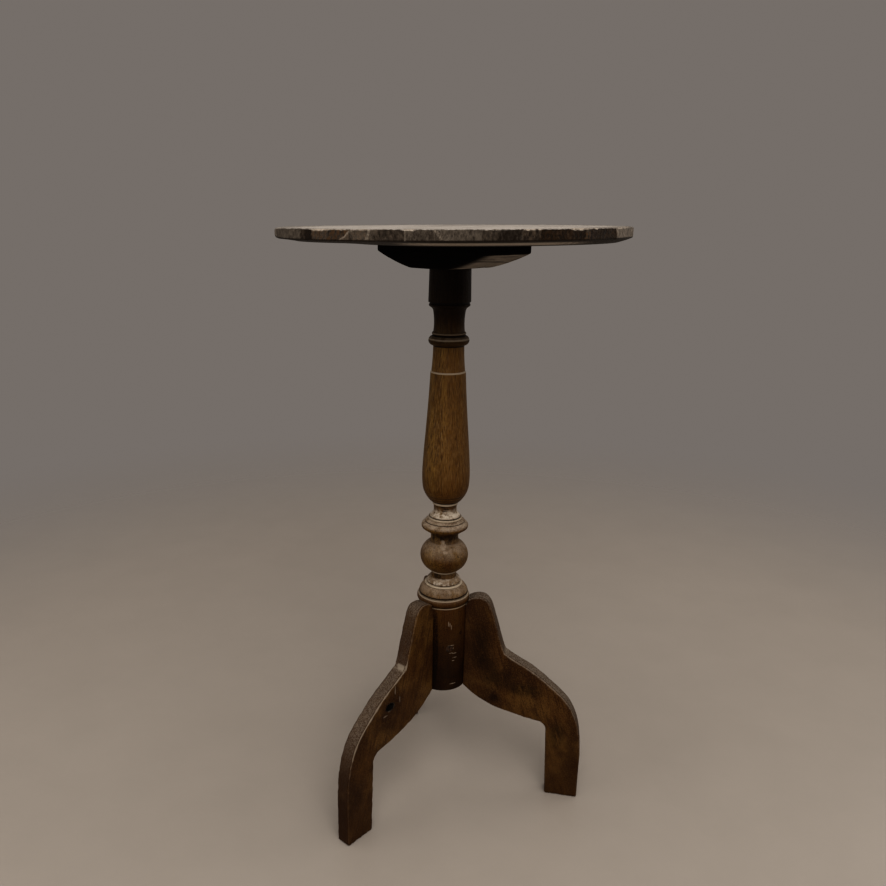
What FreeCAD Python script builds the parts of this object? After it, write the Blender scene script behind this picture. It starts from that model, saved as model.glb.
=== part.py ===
"""Round lamp table: a boarded top on one batten, a turned column and three sawn legs.

Lengths are in millimetres and angles in degrees. +Z is up, and the origin is on
the floor, under the middle of the top. The rear leg points nearly along +Y.
"""
import FreeCAD
import Part
import math
import os

os.makedirs("parts", exist_ok=True)

# Overall sizes
table_height = 700.0
top_radius = 189.0
top_thickness = 15.0
foot_circle_radius = 180.0
leg_thickness = 18.7
drum_radius = 30.0

# Round top: a square rim over a chamfer
rim_height = 10.7
under_chamfer_run = 14.0
rim_arris = 1.3

# Dowels across the boards' joints
dowel_radius = 3.0
dowel_length = 40.0
dowel_clearance = 0.1
dowel_end_gap = 0.6

# Batten: it lies across the boards, and its underside rises in a bevel to each end
cleat_length = 169.0
cleat_width = 71.0
cleat_thickness = 28.0
cleat_end_height = 11.6
cleat_flat_length = 56.0
cleat_bevel_swell = 1.4
cleat_turn = 22.0

# Screws up through the flat middle of the batten into the boards, round the column's head
cleat_screw_spread = 46.0
cleat_screw_gauge = 42.0
cleat_screw_bite = 9.5
cleat_screw_sink = 5.0

# Directions of the legs round the column
rear_leg_turn = 86.5
left_leg_turn = 210.0
right_leg_turn = 330.0

# Screws through the drum into the legs, each driven from the far side
leg_screw_height = 204.0
leg_screw_step_height = 16.0
leg_screw_bite = 17.0
leg_screw_sink = 1.0

# Slotted, countersunk screw of both sorts
screw_shank_radius = 2.2
screw_head_radius = 4.6
screw_head_height = 3.0
screw_tip_length = 4.0
screw_slot_width = 1.1
screw_slot_depth = 1.2
screw_clearance = 0.1

# Drum, which takes the legs
drum_floor_gap = 145.0
drum_height = 114.0
drum_foot_round = 2.0
drum_neck_groove_height = 1.8
drum_neck_groove_depth = 1.1

# Stepped collar on the drum: an astragal, a groove, a quarter round, a bead and a cap
astragal_height = 8.4
astragal_edge_radius = 31.0
astragal_swell = 1.4
collar_groove_height = 1.8
collar_groove_radius = 28.3
collar_height = 10.4
collar_foot_radius = 30.2
collar_top_radius = 23.4
collar_swell = 1.5
collar_bead_height = 2.2
collar_bead_radius = 22.4
collar_bead_swell = 0.6
quirk_height = 1.3
quirk_radius = 20.4
cap_height = 6.6
cap_foot_radius = 21.0
cap_top_radius = 15.7
cap_swell = 1.3

# Ball between two necks
lower_neck_height = 6.8
lower_neck_radius = 15.2
ball_fillet_height = 1.8
ball_fillet_radius = 16.4
ball_height = 37.2
ball_foot_radius = 16.0
ball_top_radius = 18.0
ball_swell = 12.0
upper_neck_height = 10.4
upper_neck_foot_radius = 17.4
upper_neck_top_radius = 16.8
upper_neck_hollow = 0.6

# Saucer ring with an incised line, a bead and a cap, and the waist under the vase
saucer_flare_height = 7.4
saucer_edge_height = 5.2
saucer_edge_radius = 27.3
saucer_edge_swell = 0.8
saucer_slope_height = 2.9
saucer_slope_radius = 23.8
saucer_line_height = 0.8
saucer_line_radius = 23.1
saucer_shelf_height = 2.2
saucer_shelf_radius = 20.6
saucer_bead_height = 2.8
saucer_bead_radius = 19.6
saucer_bead_swell = 0.7
saucer_quirk_height = 1.0
saucer_quirk_radius = 17.8
saucer_cap_height = 4.0
saucer_cap_radius = 18.6
saucer_cap_swell = 0.4
waist_height = 11.2
waist_radius = 13.9
waist_hollow = 0.3
waist_fillet_height = 3.0
waist_fillet_radius = 15.1

# Vase, whose height is what the other members leave
vase_foot_radius = 16.4
vase_radius = 28.1
vase_top_radius = 20.1
vase_step_height = 1.0
vase_neck_height = 29.5
vase_neck_foot_radius = 19.2
vase_neck_top_radius = 17.5
vase_neck_hollow = 0.4

# Ring, throat and head under the batten
ring_height = 10.6
ring_edge_radius = 18.3
ring_swell = 4.7
ring_quirk_height = 0.8
ring_quirk_radius = 17.9
ring_bead_height = 3.0
ring_bead_radius = 18.3
ring_bead_swell = 0.9
throat_height = 23.5
throat_foot_radius = 17.7
throat_top_radius = 18.1
throat_hollow = 0.9
head_cove_height = 4.6
head_cove_radius = 22.0
head_cove_hollow = 0.7
head_bead_height = 3.2
head_bead_swell = 1.0
head_groove_height = 1.8
head_groove_radius = 22.3
head_height = 36.0
head_foot_radius = 23.7
head_top_radius = 22.9

# Round tenon through the batten, spread by a wedge
tenon_radius = 13.5
tenon_clearance = 0.15
tenon_end_gap = 0.6
wedge_depth = 20.0
wedge_thickness = 3.2
wedge_tip_thickness = 0.8

# Sliding dovetails, entered from under the drum
tongue_depth = 11.0
tongue_neck_width = 9.6
tongue_tail_width = 13.4
tongue_height = 94.0
tongue_clearance = 0.1
tongue_end_gap = 0.5

# Leg, seen from its side
leg_head_rise = 10.5
leg_notch_height = 196.0
leg_ankle_height = 64.0
leg_under_height = 105.0
foot_length = 41.0
foot_taper = 3.7
foot_ease = 1.2
under_corner_round = 9.0
leg_arris = 1.3
ring_gap = 0.3

# One overrun serves every cut
overrun = 2.0

# Widths of the boards, as shares of the top's diameter
front_board_share = 0.217
middle_board_share = 0.261

# Points of the curves, as shares (height, radius) or (reach, height) of the sizes that they follow
vase_bowl_shares = ((0.018, 0.26), (0.050, 0.565), (0.082, 0.785), (0.114, 0.91), (0.160, 0.98), (0.205, 1.0))
vase_taper_shares = ((0.322, 0.915), (0.483, 0.69), (0.638, 0.45), (0.787, 0.24))
leg_crest_shares = ((0.060, 0.984), (0.103, 1.0), (0.150, 0.982), (0.190, 0.901), (0.223, 0.735), (0.270, 0.41))
leg_knee_shares = ((0.42, 0.939), (0.567, 0.843), (0.74, 0.689), (0.867, 0.549), (0.947, 0.379), (0.985, 0.189))
leg_under_shares = ((0.067, 0.76), (0.153, 0.54), (0.24, 0.38), (0.36, 0.235), (0.50, 0.10))
leg_crest_start_share = 0.935
leg_notch_share = 0.333
dowel_place_share = 0.55

# Levels, places and directions that follow from the sizes above
top_underside = table_height - top_thickness
cleat_underside = top_underside - cleat_thickness
cleat_screw_level = cleat_underside + cleat_screw_sink
drum_top = drum_floor_gap + drum_height
leg_head_height = drum_top + leg_head_rise
astragal_radius = astragal_edge_radius + astragal_swell
front_joint = top_radius * (front_board_share * 2 - 1)
rear_joint = front_joint + top_radius * middle_board_share * 2
up = FreeCAD.Vector(0, 0, 1)
origin = FreeCAD.Vector(0, 0, 0)


def point(across, height):
    """A point of an outline in the XZ plane."""
    return FreeCAD.Vector(across, 0, height)


def straight(start, end):
    """A straight stretch of an outline."""
    return Part.LineSegment(start, end).toShape()


def bowed(start, end, swell):
    """An arc whose middle stands off its chord by swell, to the right of the way from start to end."""
    chord = end - start
    side = FreeCAD.Vector(chord.z, 0, -chord.x).normalize()
    middle = (start + end) * 0.5 + side * swell
    return Part.Arc(start, middle, end).toShape()


def smooth(points):
    """A smooth curve through points of an outline."""
    curve = Part.BSplineCurve()
    curve.interpolate(points)
    return curve.toShape()


def polygon(points):
    """The straight edges round a closed outline."""
    return [straight(start, end) for start, end in zip(points, points[1:] + points[:1])]


def turned(edges):
    """A solid turned about the Z axis from a closed outline."""
    return Part.Face(Part.Wire(edges)).revolve(origin, up, 360)


def sawn(edges, thickness):
    """A solid of even thickness from a closed outline, with its middle on the XZ plane."""
    face = Part.Face(Part.Wire(edges))
    face.translate(FreeCAD.Vector(0, -thickness / 2, 0))
    return face.extrude(FreeCAD.Vector(0, thickness, 0))


def cylinder(radius, bottom, top):
    """An upright cylinder on the Z axis between two levels."""
    return Part.makeCylinder(radius, top - bottom, point(0, bottom), up)


def along_x(shape):
    """Lays a shape made along +Z down along +X."""
    return shape.rotated(origin, FreeCAD.Vector(0, 1, 0), 90)


def along_cleat(shape):
    """Turns a shape made along +X to lie along the batten, square to the boards."""
    return shape.rotated(origin, up, 90 + cleat_turn)


def moved(shape, across, side, height):
    """A copy of a shape, moved."""
    return shape.translated(FreeCAD.Vector(across, side, height))


def screw(length):
    """A countersunk screw that points up, with its slotted face on the XY plane."""
    outline = polygon([
        point(0, 0),
        point(screw_head_radius, 0),
        point(screw_shank_radius, screw_head_height),
        point(screw_shank_radius, length - screw_tip_length),
        point(0, length),
    ])
    slot = Part.makeBox(screw_head_radius * 4, screw_slot_width, screw_slot_depth * 2)
    return turned(outline).cut(moved(slot, -screw_head_radius * 2, -screw_slot_width / 2, -screw_slot_depth))


def screw_hole(length, entry):
    """What a screw and its sunk head take out of the wood, from an entry below its face."""
    shank_hole = screw_shank_radius + screw_clearance
    head_hole = screw_head_radius + screw_clearance
    outline = polygon([
        point(0, -entry),
        point(head_hole, -entry),
        point(head_hole, 0),
        point(shank_hole, screw_head_height),
        point(shank_hole, length),
        point(0, length),
    ])
    return turned(outline)


def top_disc():
    """The round top before it is cut into boards."""
    chamfer_top = table_height - rim_height
    outline = polygon([
        point(0, top_underside),
        point(top_radius - under_chamfer_run, top_underside),
        point(top_radius, chamfer_top),
        point(top_radius, table_height - rim_arris),
        point(top_radius - rim_arris, table_height),
        point(0, table_height),
    ])
    return turned(outline)


def board(disc, near, far):
    """The stretch of the top between two distances along the batten's line."""
    reach = top_radius + overrun
    slab = Part.makeBox(far - near, reach * 2, top_thickness + overrun * 2)
    return disc.common(along_cleat(moved(slab, near, -reach, top_underside - overrun)))


def dowel_places():
    """Where the dowels cross the joints, as distances along the batten and along the boards."""
    places = []
    for joint in (front_joint, rear_joint):
        half_joint = math.sqrt(top_radius ** 2 - joint ** 2)
        places += [(joint, half_joint * dowel_place_share), (joint, -half_joint * dowel_place_share)]
    return places


def dowel(radius, length, place):
    """A dowel, or its hole, across a joint at half the top's thickness."""
    peg = along_x(Part.makeCylinder(radius, length))
    joint, side = place
    return along_cleat(moved(peg, joint - length / 2, side, table_height - top_thickness / 2))


def cleat_blank():
    """The batten with its bevelled ends, before it is bored."""
    half_length = cleat_length / 2
    half_flat = cleat_flat_length / 2
    end_foot = top_underside - cleat_end_height
    left_top, left_foot = point(-half_length, top_underside), point(-half_length, end_foot)
    right_top, right_foot = point(half_length, top_underside), point(half_length, end_foot)
    flat_left, flat_right = point(-half_flat, cleat_underside), point(half_flat, cleat_underside)
    outline = [
        straight(left_top, left_foot),
        bowed(left_foot, flat_left, cleat_bevel_swell),
        straight(flat_left, flat_right),
        bowed(flat_right, right_foot, cleat_bevel_swell),
        straight(right_foot, right_top),
        straight(right_top, left_top),
    ]
    return along_cleat(sawn(outline, cleat_width))


def at_cleat_screws(shape):
    """Copies of an upright shape at the four screws of the batten."""
    copies = []
    for across in (-cleat_screw_spread / 2, cleat_screw_spread / 2):
        for side in (-cleat_screw_gauge / 2, cleat_screw_gauge / 2):
            copies.append(along_cleat(moved(shape, across, side, cleat_screw_level)))
    return copies


def member_edges(start, members):
    """Edges of turned members stacked from start: (height, foot radius, top radius, swell) each."""
    edges = []
    here = start
    for height, foot_radius, top_edge_radius, swell in members:
        foot = point(foot_radius, here.z)
        top = point(top_edge_radius, here.z + height)
        if foot_radius != here.x:
            edges.append(straight(here, foot))
        edges.append(bowed(foot, top, swell) if swell else straight(foot, top))
        here = top
    return edges, here


def members_below_vase():
    """The turned members between the drum and the vase."""
    groove_radius = drum_radius - drum_neck_groove_depth
    return (
        (drum_neck_groove_height, groove_radius, groove_radius, 0),
        (astragal_height, astragal_edge_radius, astragal_edge_radius, astragal_swell),
        (collar_groove_height, collar_groove_radius, collar_groove_radius, 0),
        (collar_height, collar_foot_radius, collar_top_radius, collar_swell),
        (collar_bead_height, collar_bead_radius, collar_bead_radius, collar_bead_swell),
        (quirk_height, quirk_radius, quirk_radius, 0),
        (cap_height, cap_foot_radius, cap_top_radius, cap_swell),
        (lower_neck_height, lower_neck_radius, lower_neck_radius, 0),
        (ball_fillet_height, ball_fillet_radius, ball_fillet_radius, 0),
        (ball_height, ball_foot_radius, ball_top_radius, ball_swell),
        (upper_neck_height, upper_neck_foot_radius, upper_neck_top_radius, -upper_neck_hollow),
        (saucer_flare_height, upper_neck_top_radius, saucer_edge_radius, 0),
        (saucer_edge_height, saucer_edge_radius, saucer_edge_radius, saucer_edge_swell),
        (saucer_slope_height, saucer_edge_radius, saucer_slope_radius, 0),
        (saucer_line_height, saucer_line_radius, saucer_line_radius, 0),
        (saucer_shelf_height, saucer_slope_radius, saucer_shelf_radius, 0),
        (saucer_bead_height, saucer_bead_radius, saucer_bead_radius, saucer_bead_swell),
        (saucer_quirk_height, saucer_quirk_radius, saucer_quirk_radius, 0),
        (saucer_cap_height, saucer_cap_radius, waist_radius, saucer_cap_swell),
        (waist_height, waist_radius, waist_radius, -waist_hollow),
        (waist_fillet_height, waist_fillet_radius, waist_fillet_radius, 0),
    )


def members_above_vase():
    """The turned members between the vase and the batten."""
    return (
        (vase_step_height, vase_top_radius, vase_neck_foot_radius, 0),
        (vase_neck_height, vase_neck_foot_radius, vase_neck_top_radius, -vase_neck_hollow),
        (ring_height, ring_edge_radius, ring_edge_radius, ring_swell),
        (ring_quirk_height, ring_quirk_radius, ring_quirk_radius, 0),
        (ring_bead_height, ring_bead_radius, ring_bead_radius, ring_bead_swell),
        (throat_height, throat_foot_radius, throat_top_radius, -throat_hollow),
        (head_cove_height, throat_top_radius, head_cove_radius, -head_cove_hollow),
        (head_bead_height, head_cove_radius, head_cove_radius, head_bead_swell),
        (head_groove_height, head_groove_radius, head_groove_radius, 0),
        (head_height, head_foot_radius, head_top_radius, 0),
    )


def vase_edges(start, height):
    """The vase's bowl and its long taper, as one smooth curve."""
    foot = point(vase_foot_radius, start.z)
    points = [foot]
    for up_share, out_share in vase_bowl_shares:
        radius = vase_foot_radius + (vase_radius - vase_foot_radius) * out_share
        points.append(point(radius, start.z + height * up_share))
    for up_share, out_share in vase_taper_shares:
        radius = vase_top_radius + (vase_radius - vase_top_radius) * out_share
        points.append(point(radius, start.z + height * up_share))
    points.append(point(vase_top_radius, start.z + height))
    return [straight(start, foot), smooth(points)], points[-1]


def column_blank():
    """The whole turning, from the drum's foot to the end of the tenon."""
    round_start = point(drum_radius - drum_foot_round, drum_floor_gap)
    round_end = point(drum_radius, drum_floor_gap + drum_foot_round)
    drum_edge = point(drum_radius, drum_top)
    edges = [
        straight(point(0, drum_floor_gap), round_start),
        bowed(round_start, round_end, drum_foot_round * (1 - math.sqrt(0.5))),
        straight(round_end, drum_edge),
    ]
    lower_edges, vase_start = member_edges(drum_edge, members_below_vase())
    upper_height = sum(member[0] for member in members_above_vase())
    curve, vase_end = vase_edges(vase_start, cleat_underside - upper_height - vase_start.z)
    upper_edges, shoulder = member_edges(vase_end, members_above_vase())
    tenon_foot = point(tenon_radius, shoulder.z)
    tenon_end = point(tenon_radius, top_underside - tenon_end_gap)
    axis_end = point(0, tenon_end.z)
    edges += lower_edges + curve + upper_edges
    edges += [straight(shoulder, tenon_foot), straight(tenon_foot, tenon_end), straight(tenon_end, axis_end)]
    edges.append(straight(axis_end, point(0, drum_floor_gap)))
    return turned(edges)


def tenon_wedge():
    """The wedge in the tenon's end, across the batten's grain."""
    end = top_underside - tenon_end_gap
    outline = polygon([
        point(-wedge_tip_thickness / 2, end - wedge_depth),
        point(wedge_tip_thickness / 2, end - wedge_depth),
        point(wedge_thickness / 2, end),
        point(-wedge_thickness / 2, end),
    ])
    blade = sawn(outline, tenon_radius * 2)
    return along_cleat(blade).common(cylinder(tenon_radius, end - wedge_depth, end))


def dovetail(height, clearance):
    """A dovetail tongue along +X, or its socket, standing on the level of the drum's foot."""
    tail = drum_radius - tongue_depth - clearance
    half_tail = tongue_tail_width / 2 + clearance
    half_neck = tongue_neck_width / 2 + clearance
    outer = drum_radius + overrun
    plan = polygon([
        FreeCAD.Vector(tail, -half_tail, drum_floor_gap),
        FreeCAD.Vector(drum_radius, -half_neck, drum_floor_gap),
        FreeCAD.Vector(outer, -half_neck, drum_floor_gap),
        FreeCAD.Vector(outer, half_neck, drum_floor_gap),
        FreeCAD.Vector(drum_radius, half_neck, drum_floor_gap),
        FreeCAD.Vector(tail, half_tail, drum_floor_gap),
    ])
    return Part.Face(Part.Wire(plan)).extrude(up * height)


def leg_outline():
    """The sawn outline of a leg along +X, from inside the drum to the foot."""
    inside = math.sqrt(drum_radius ** 2 - (leg_thickness / 2) ** 2) - overrun
    span = foot_circle_radius - drum_radius
    crest_height = leg_head_height - leg_notch_height
    crest_start = point(astragal_radius, leg_notch_height + crest_height * leg_crest_start_share)
    notch = point(drum_radius + span * leg_notch_share, leg_notch_height)
    ankle = point(foot_circle_radius, leg_ankle_height)
    crest = [crest_start]
    for out_share, up_share in leg_crest_shares:
        crest.append(point(drum_radius + span * out_share, leg_notch_height + crest_height * up_share))
    crest.append(notch)
    knee = [notch]
    for out_share, up_share in leg_knee_shares:
        rise = leg_notch_height - leg_ankle_height
        knee.append(point(drum_radius + span * out_share, leg_ankle_height + rise * up_share))
    knee.append(ankle)
    toe = point(foot_circle_radius, foot_ease)
    toe_foot = point(foot_circle_radius - foot_ease, 0)
    heel = foot_circle_radius - foot_length
    heel_foot = point(heel + foot_ease, 0)
    heel_side = point(heel, foot_ease)
    corner = heel - foot_taper
    corner_side = point(corner, leg_under_height - under_corner_round)
    corner_top = point(corner - under_corner_round, leg_under_height)
    corner_swell = under_corner_round * (math.sqrt(0.5) - 0.5)
    under = [corner_top]
    for out_share, up_share in reversed(leg_under_shares):
        rise = drum_floor_gap - leg_under_height
        under.append(point(drum_radius + span * out_share, leg_under_height + rise * up_share))
    drum_corner = point(drum_radius, drum_floor_gap)
    under.append(drum_corner)
    inner_foot = point(inside, drum_floor_gap)
    inner_top = point(inside, crest_start.z)
    return [
        straight(inner_top, crest_start),
        smooth(crest),
        smooth(knee),
        straight(ankle, toe),
        straight(toe, toe_foot),
        straight(toe_foot, heel_foot),
        straight(heel_foot, heel_side),
        straight(heel_side, corner_side),
        bowed(corner_side, corner_top, corner_swell),
        smooth(under),
        straight(drum_corner, inner_foot),
        straight(inner_foot, inner_top),
    ]


def arris_edges(shape):
    """The long edges of a leg's side faces, clear of the drum."""
    found = []
    for edge in shape.Edges:
        box = edge.BoundBox
        on_side = abs(abs(box.YMin) - leg_thickness / 2) < leg_arris and box.YLength < leg_arris
        if on_side and box.XMin > drum_radius + overrun / 2 and box.ZMax > leg_arris:
            found.append(edge)
    return found


def leg_blank():
    """A leg along +X with its tongue, scribed to the drum and clear of the astragal."""
    body = sawn(leg_outline(), leg_thickness)
    body = body.makeFillet(leg_arris, arris_edges(body))
    body = body.cut(cylinder(drum_radius, 0, drum_top))
    body = body.cut(cylinder(astragal_radius + ring_gap, drum_top, leg_head_height + overrun))
    return body.fuse(dovetail(tongue_height, 0)).removeSplitter()


def leg_screw_length():
    """The length of a leg's screw, from its sunk head through the drum."""
    return drum_radius * 2 - leg_screw_sink + leg_screw_bite


def at_leg_screw(shape, level):
    """Lays an upright shape along +X, as a leg's screw lies."""
    return moved(along_x(shape), leg_screw_sink - drum_radius, 0, level)


def save(name, *shapes):
    """Writes one node, as one solid or as a group of separate solids."""
    shape = shapes[0] if len(shapes) == 1 else Part.makeCompound(list(shapes))
    shape.exportStep("parts/" + name + ".step")
    print(name, "solids", len(shape.Solids), "volume", round(shape.Volume), "valid", shape.isValid())


# Legs, their tongues and their screws
leg_places = (
    ("leg_rear", rear_leg_turn, leg_screw_height),
    ("leg_left", left_leg_turn, leg_screw_height + leg_screw_step_height),
    ("leg_right", right_leg_turn, leg_screw_height - leg_screw_step_height),
)
blank = leg_blank()
column = column_blank()
leg_screws = []
for name, angle, level in leg_places:
    hole = at_leg_screw(screw_hole(leg_screw_length(), leg_screw_sink + overrun), level)
    socket = moved(dovetail(tongue_height + tongue_end_gap + overrun, tongue_clearance), 0, 0, -overrun)
    save(name, blank.cut(hole).rotated(origin, up, angle))
    column = column.cut(hole.fuse(socket).rotated(origin, up, angle))
    leg_screws.append(at_leg_screw(screw(leg_screw_length()), level).rotated(origin, up, angle))
save("leg_screws", *leg_screws)

# Column and the wedge in its tenon
wedge = tenon_wedge()
save("column", column.cut(wedge))
save("tenon_wedge", wedge)

# Batten and its screws
cleat_screw_length = top_underside + cleat_screw_bite - cleat_screw_level
cleat_holes = at_cleat_screws(screw_hole(cleat_screw_length, cleat_thickness))
cleat = cleat_blank().cut(cylinder(tenon_radius + tenon_clearance, cleat_underside - overrun, top_underside + overrun))
for hole in cleat_holes:
    cleat = cleat.cut(hole)
save("cleat", cleat)
save("cleat_screws", *at_cleat_screws(screw(cleat_screw_length)))

# Boards of the top and the dowels in their joints
disc = top_disc()
for place in dowel_places():
    disc = disc.cut(dowel(dowel_radius + dowel_clearance, dowel_length + dowel_end_gap * 2, place))
for hole in cleat_holes:
    disc = disc.cut(hole)
board_edge = top_radius + overrun
save("top_board_front", board(disc, -board_edge, front_joint))
save("top_board_middle", board(disc, front_joint, rear_joint))
save("top_board_rear", board(disc, rear_joint, board_edge))
save("top_dowels", *[dowel(dowel_radius, dowel_length, place) for place in dowel_places()])
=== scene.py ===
import math
import random

import bmesh
import bpy
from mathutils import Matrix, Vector, noise


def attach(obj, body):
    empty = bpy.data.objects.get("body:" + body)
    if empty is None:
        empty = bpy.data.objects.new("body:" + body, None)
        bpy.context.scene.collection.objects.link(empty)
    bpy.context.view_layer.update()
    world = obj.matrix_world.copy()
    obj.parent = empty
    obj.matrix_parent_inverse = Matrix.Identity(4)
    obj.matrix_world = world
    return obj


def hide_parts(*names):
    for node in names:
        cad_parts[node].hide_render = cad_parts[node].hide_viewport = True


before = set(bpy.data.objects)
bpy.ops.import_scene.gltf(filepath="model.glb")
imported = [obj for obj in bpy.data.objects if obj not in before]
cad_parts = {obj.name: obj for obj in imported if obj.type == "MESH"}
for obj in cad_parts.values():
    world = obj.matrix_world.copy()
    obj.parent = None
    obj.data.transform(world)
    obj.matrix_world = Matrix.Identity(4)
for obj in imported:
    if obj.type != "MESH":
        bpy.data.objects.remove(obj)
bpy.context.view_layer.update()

# Camera. It stands in front of the table, level with the top, and looks down at the feet,
# so the top shows only its rim and a sliver of its upper face.
camera_place = (-0.3376, -0.8722, 0.7114)
camera_pitch, camera_roll, camera_heading = 71.25, 0.16, -16.76
camera_lens, camera_sensor = 33.51, 36.0
camera_shift = (0.0659, 0.0590)
camera_near, camera_far = 0.05, 50.0

camera = bpy.data.cameras.new("camera")
camera.lens, camera.sensor_width = camera_lens, camera_sensor
camera.shift_x, camera.shift_y = camera_shift
camera.clip_start, camera.clip_end = camera_near, camera_far
viewer = bpy.data.objects.new("camera", camera)
viewer.location = camera_place
viewer.rotation_euler = [math.radians(turn) for turn in (camera_pitch, camera_roll, camera_heading)]
bpy.context.scene.collection.objects.link(viewer)
bpy.context.scene.camera = viewer
bpy.context.scene.view_settings.view_transform = "Standard"
bpy.context.scene.view_settings.look = "High Contrast"

# Column. One long hardwood turning with a plain drum at its foot, stained brown and waxed.
# The vase has worn to a golden brown; dust lies on every face that looks up, and old wax has stayed dark in
# the quirks. Painted shade deepens the quirks and darkens one side of the vase, the ring and the column
# above it under the batten; a painted shadow lies on the drum beside the left leg, and worn edges carry
# painted highlights.
column_dark = (0.070, 0.028, 0.007)
column_brown = (0.128, 0.062, 0.011)
column_gold = (0.222, 0.124, 0.026)
column_shade_red = (0.120, 0.050, 0.010)
column_lit = (0.360, 0.250, 0.110)
column_wax_and_shade = (0.006, 0.0022, 0.0008)
ring_dust = (0.430, 0.350, 0.270)
waist_dust = (0.640, 0.570, 0.480)
bare_edge_and_highlight = (0.520, 0.440, 0.340)
# Levels in metres between which a finish comes in, going up, or going down where the first is the higher
drum_below = (0.2590, 0.2575)
drum_above = (0.2585, 0.2610)
drum_soil_below = (0.2620, 0.1600)
shoulder_below = (0.2816, 0.2808)
saucer_above = (0.3520, 0.3580)
necks_below = (0.3920, 0.3800)
rings_below = (0.3950, 0.3800)
vase_above = (0.3880, 0.4000)
throat_above = (0.5600, 0.5880)
head_above = (0.5880, 0.6120)
thin_dust_below = (0.6000, 0.5800)
# Members with a finish of their own: the levels where it begins, is full, eases off and ends
astragal = (0.2606, 0.2612, 0.2688, 0.2700)
collar_cap = (0.2846, 0.2856, 0.2905, 0.2925)
ball = (0.2980, 0.3020, 0.3400, 0.3480)
neck_blots = (0.3340, 0.3440, 0.3500, 0.3580)
neck_top = (0.3400, 0.3480, 0.3478, 0.3500)
waist = (0.3695, 0.3725, 0.3745, 0.3825)
vase_foot = (0.3760, 0.3800, 0.3850, 0.4400)
ring = (0.5730, 0.5745, 0.5832, 0.5842)
# Dark quirks, old wax with painted shade in them, and worn edges, pale bare wood with painted highlight
# lines:
# level, how far it spreads either way (both in metres) and how strong it is
wax_and_shade_levels = (
    (0.2600, 0.0005, 0.9), (0.2712, 0.0009, 0.9), (0.2843, 0.0004, 0.8), (0.2983, 0.0004, 0.6),
    (0.3636, 0.0003, 0.45), (0.3695, 0.0003, 0.8), (0.3895, 0.0009, 0.8), (0.3935, 0.0002, 0.6),
    (0.3975, 0.0002, 0.5), (0.5732, 0.0006, 0.8), (0.5845, 0.0004, 0.9), (0.6201, 0.0009, 0.8),
)
worn_and_highlight_levels = (
    (0.2582, 0.0004, 0.5), (0.2690, 0.0004, 0.55), (0.2828, 0.0007, 1.0), (0.2993, 0.0005, 0.7),
    (0.3677, 0.0009, 0.8), (0.3868, 0.0010, 0.9), (0.5436, 0.0006, 0.7), (0.5806, 0.0005, 0.3),
    (0.5866, 0.0004, 0.2),
)
line_fade = 0.0006
# Scratches, spots and stains: azimuth in degrees, height, half width and half height in millimetres,
# and pale (1) or dark (0); the long dark mark on the drum at -129 degrees is a painted shadow beside the
# left leg
column_marks = (
    (-97.0, 238.5, 0.6, 3.5, 1), (-93.5, 237.0, 0.5, 3.0, 1), (-90.0, 233.5, 0.5, 3.5, 1),
    (-89.5, 208.5, 4.2, 0.7, 1), (-84.5, 204.5, 0.7, 1.4, 1), (-89.0, 198.0, 2.8, 0.6, 1),
    (-80.0, 197.0, 3.4, 0.6, 1), (-79.5, 191.0, 3.0, 0.7, 1), (-83.0, 187.0, 2.0, 0.6, 1),
    (-83.0, 154.5, 4.4, 0.7, 1), (-63.0, 222.5, 2.4, 2.4, 0), (-129.0, 202.0, 4.5, 52.0, 0),
    (-115.0, 336.5, 3.6, 3.4, 1), (-118.0, 341.0, 2.6, 2.0, 1), (-108.0, 331.0, 3.0, 1.4, 1),
    (-120.0, 383.5, 5.0, 0.8, 0), (-104.0, 381.5, 4.0, 0.7, 0), (-112.0, 379.0, 3.0, 0.6, 0),
    (-142.0, 295.0, 5.0, 3.6, 0),
)
pale_mark, dark_mark = 0.55, 0.80
# A mark shows only where its side of the column is this far out from the middle
mark_front = 0.006
# How far a face must look up for dust to begin and to lie full, and the side away from the light, painted
# in shade
dust_start, dust_full = -0.22, 0.75
shade_line = (0.55, -0.83, 0.0)


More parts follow.
